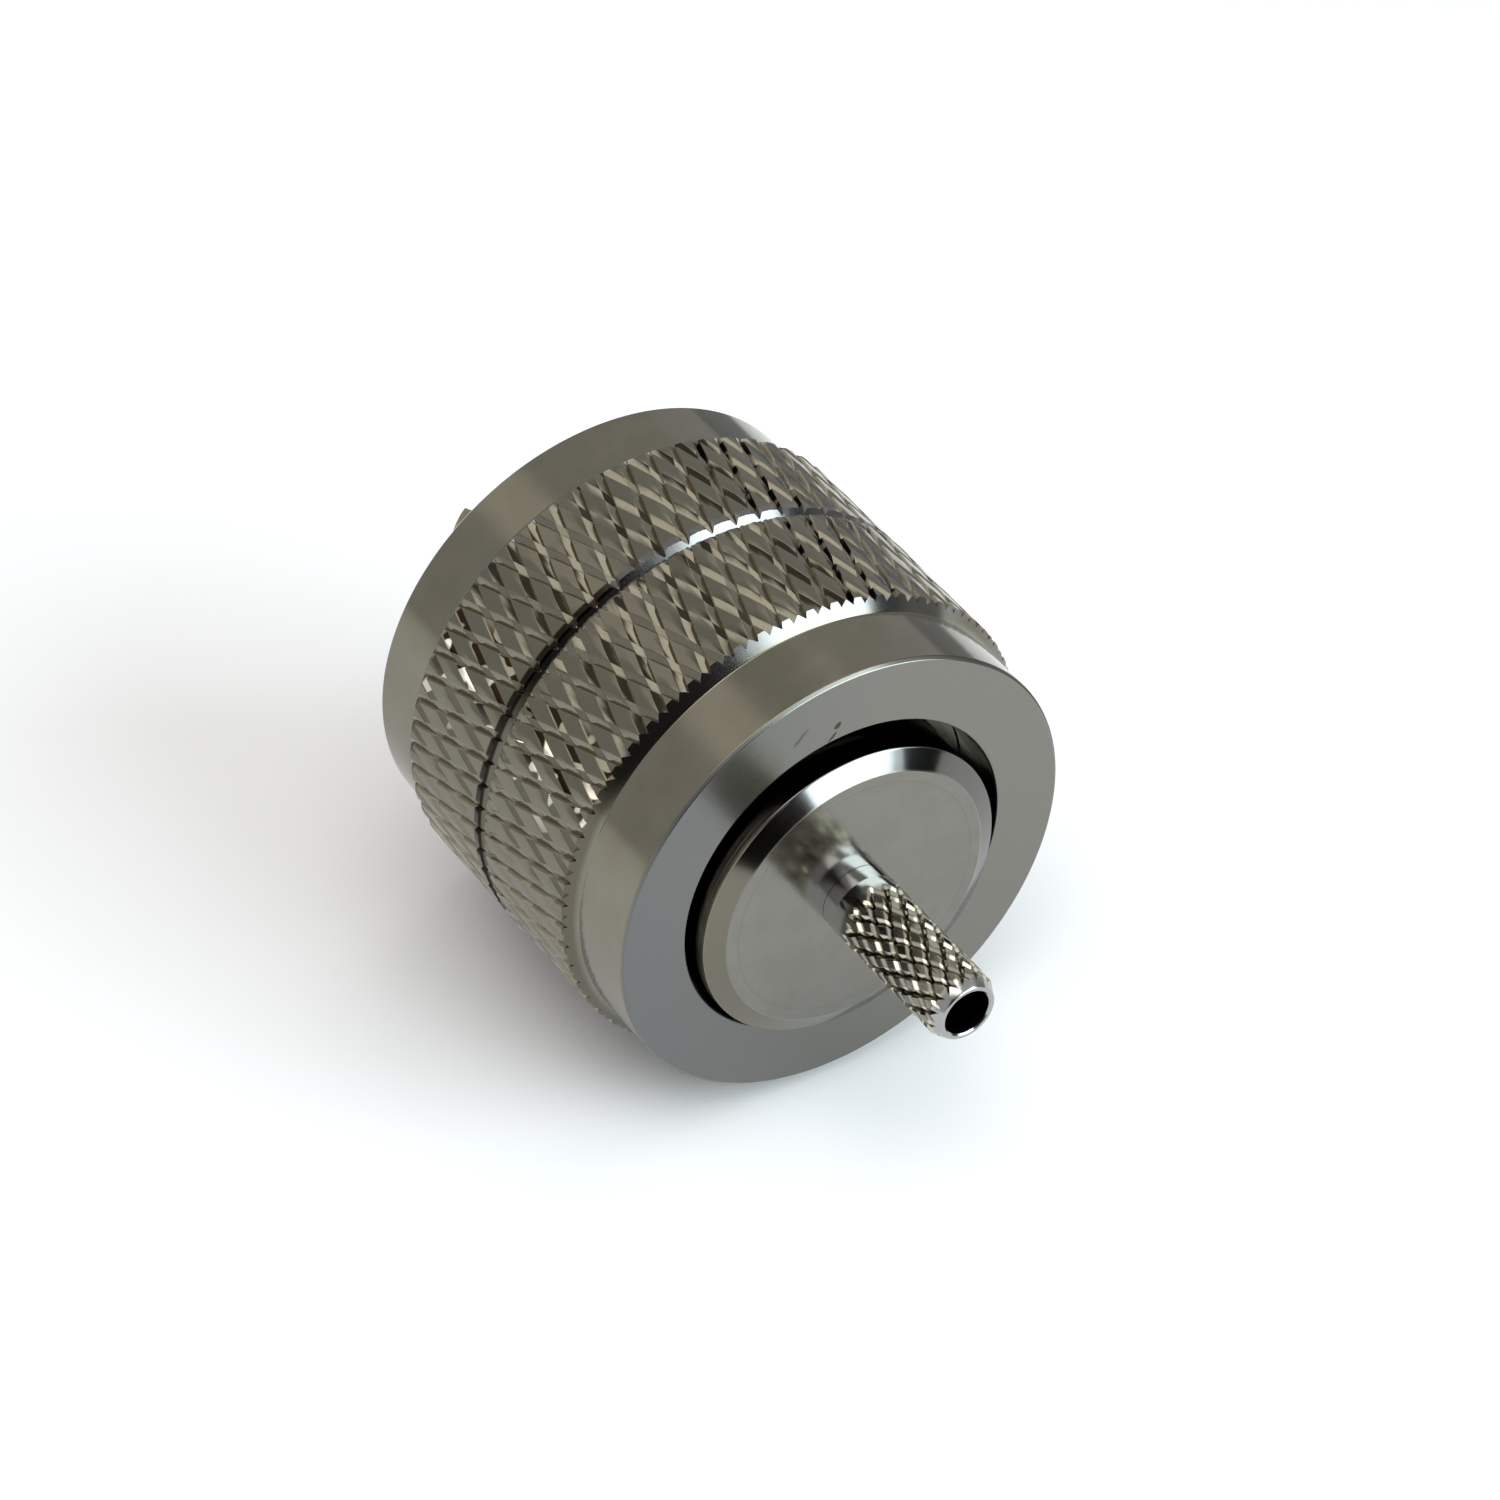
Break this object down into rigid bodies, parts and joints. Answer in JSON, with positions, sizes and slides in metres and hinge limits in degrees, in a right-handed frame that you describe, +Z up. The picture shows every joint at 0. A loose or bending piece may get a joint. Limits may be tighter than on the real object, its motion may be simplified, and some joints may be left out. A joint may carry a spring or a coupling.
{
  "type": "crimp uhf plug",
  "caption": "Coaxial plug with a knurled screw coupling nut that spins on a turned body, a side-cut centre pin and a thin knurled crimp stem for the cable.",
  "frame": {"origin": "on the connector's axis where the pin's full diameter leaves the insulator", "axes": "+X along the axis towards the mating end, +Z up with the plug lying on its knurl; the loose nut's axis is 0.42 mm above the body's, which hangs in it as in the picture"},
  "size_m": [0.0298, 0.0186, 0.0185],
  "materials": {
    "nickel_nut": "nickel plated, turned and knurled, satin",
    "nickel_body": "nickel plated, finely turned",
    "insulator_white": "machined PTFE",
    "pin_plate": "plated, slightly yellow"
  },
  "bodies": {
    "plug": {"plug_body": "nickel_body", "insulator": "insulator_white", "centre_pin": "pin_plate"},
    "nut": {"coupling_nut": "nickel_nut"}
  },
  "joints": [
    {"name": "nut_spin", "type": "hinge", "parent": "plug", "child": "nut", "pos_m": [0, 0, 0.00042], "axis": [1, 0, 0], "continuous": true}
  ]
}
